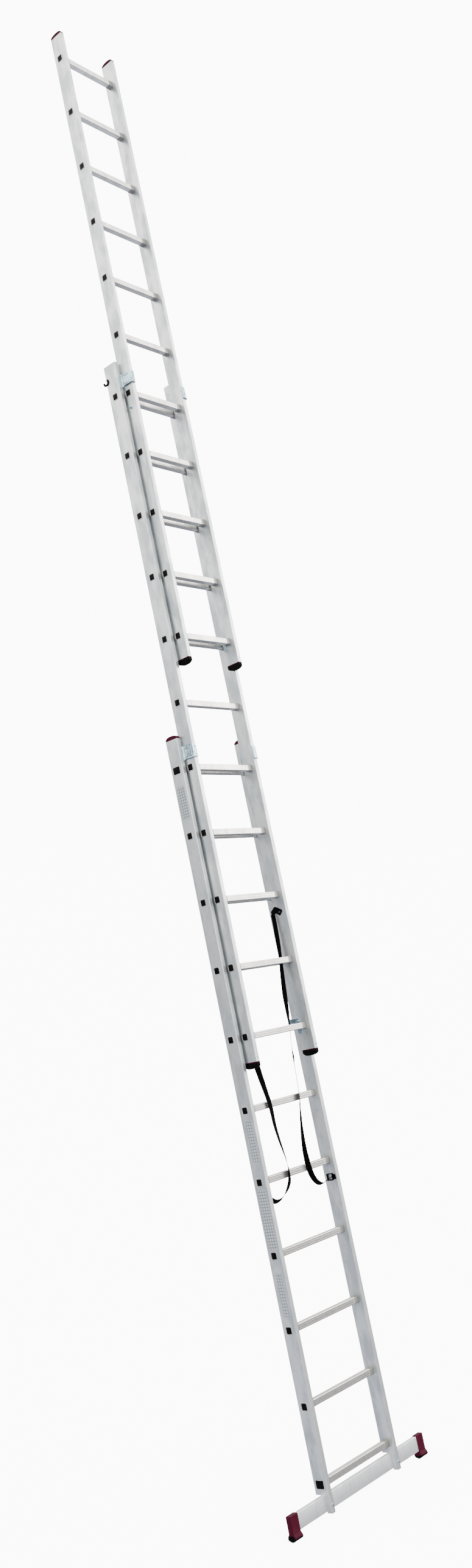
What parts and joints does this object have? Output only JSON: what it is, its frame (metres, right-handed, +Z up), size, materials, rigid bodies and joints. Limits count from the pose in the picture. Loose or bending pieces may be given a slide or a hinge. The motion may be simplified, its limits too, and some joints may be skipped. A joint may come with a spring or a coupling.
{
  "type": "extension ladder",
  "caption": "Extension ladder with sliding sections on hook catches, square rungs, guide brackets, restraint straps and a footed stabiliser bar.",
  "frame": {"origin": "on the ground, midway across the ladder and midway between its foremost and rearmost points", "axes": "+X to the climber's right along the rungs, +Y away from the climber, the way the ladder leans, +Z up"},
  "size_m": [0.872, 1.6174, 6.2326],
  "materials": {
    "stile_aluminium": "extruded mill finish, satin, with fine lengthwise die lines",
    "rung_aluminium": "extruded mill finish, semi-bright, with fine ribs along the tread",
    "bar_aluminium": "extruded mill finish, satin",
    "zinc_plate": "zinc-plated pressed sheet, bluish, semi-bright",
    "burgundy_plastic": "moulded, fine matt grain",
    "black_rubber": "moulded, dull",
    "strap_webbing": "woven polyester webbing, matt"
  },
  "bodies": {
    "lower_section": {"lower_stile_right": "stile_aluminium", "lower_stile_left": "stile_aluminium", "lower_rung_01": "rung_aluminium", "lower_rung_02": "rung_aluminium", "lower_rung_03": "rung_aluminium", "lower_rung_04": "rung_aluminium", "lower_rung_05": "rung_aluminium", "lower_rung_06": "rung_aluminium", "lower_rung_07": "rung_aluminium", "lower_rung_08": "rung_aluminium", "lower_rung_09": "rung_aluminium", "lower_rung_10": "rung_aluminium", "lower_rung_11": "rung_aluminium", "stabiliser_bar": "bar_aluminium", "stabiliser_foot_right": "burgundy_plastic", "stabiliser_sole_right": "black_rubber", "lower_guide_right": "zinc_plate", "strap_right": "strap_webbing", "stabiliser_foot_left": "burgundy_plastic", "stabiliser_sole_left": "black_rubber", "lower_guide_left": "zinc_plate", "strap_left": "strap_webbing"},
    "middle_section": {"middle_stile_right": "stile_aluminium", "middle_stile_left": "stile_aluminium", "middle_rung_01": "rung_aluminium", "middle_rung_02": "rung_aluminium", "middle_rung_03": "rung_aluminium", "middle_rung_04": "rung_aluminium", "middle_rung_05": "rung_aluminium", "middle_rung_06": "rung_aluminium", "middle_rung_07": "rung_aluminium", "middle_rung_08": "rung_aluminium", "middle_rung_09": "rung_aluminium", "middle_rung_10": "rung_aluminium", "middle_rung_11": "rung_aluminium", "middle_guide_right": "zinc_plate", "middle_hook_right": "zinc_plate", "middle_foot_right": "black_rubber", "middle_guide_left": "zinc_plate", "middle_hook_left": "zinc_plate", "middle_foot_left": "black_rubber"},
    "top_section": {"top_stile_right": "stile_aluminium", "top_stile_left": "stile_aluminium", "top_rung_01": "rung_aluminium", "top_rung_02": "rung_aluminium", "top_rung_03": "rung_aluminium", "top_rung_04": "rung_aluminium", "top_rung_05": "rung_aluminium", "top_rung_06": "rung_aluminium", "top_rung_07": "rung_aluminium", "top_rung_08": "rung_aluminium", "top_rung_09": "rung_aluminium", "top_rung_10": "rung_aluminium", "top_rung_11": "rung_aluminium", "top_hook_right": "zinc_plate", "top_foot_right": "black_rubber", "top_cap_right": "burgundy_plastic", "top_hook_left": "zinc_plate", "top_foot_left": "black_rubber", "top_cap_left": "burgundy_plastic"}
  },
  "joints": [
    {"name": "middle_slide", "type": "slide", "parent": "lower_section", "child": "middle_section", "axis": [0, 0.2588, 0.9659], "range_m": [-1.68, 0], "deforming": ["strap_right", "strap_left"]},
    {"name": "top_slide", "type": "slide", "parent": "middle_section", "child": "top_section", "axis": [0, 0.2588, 0.9659], "range_m": [-1.68, 0]}
  ]
}
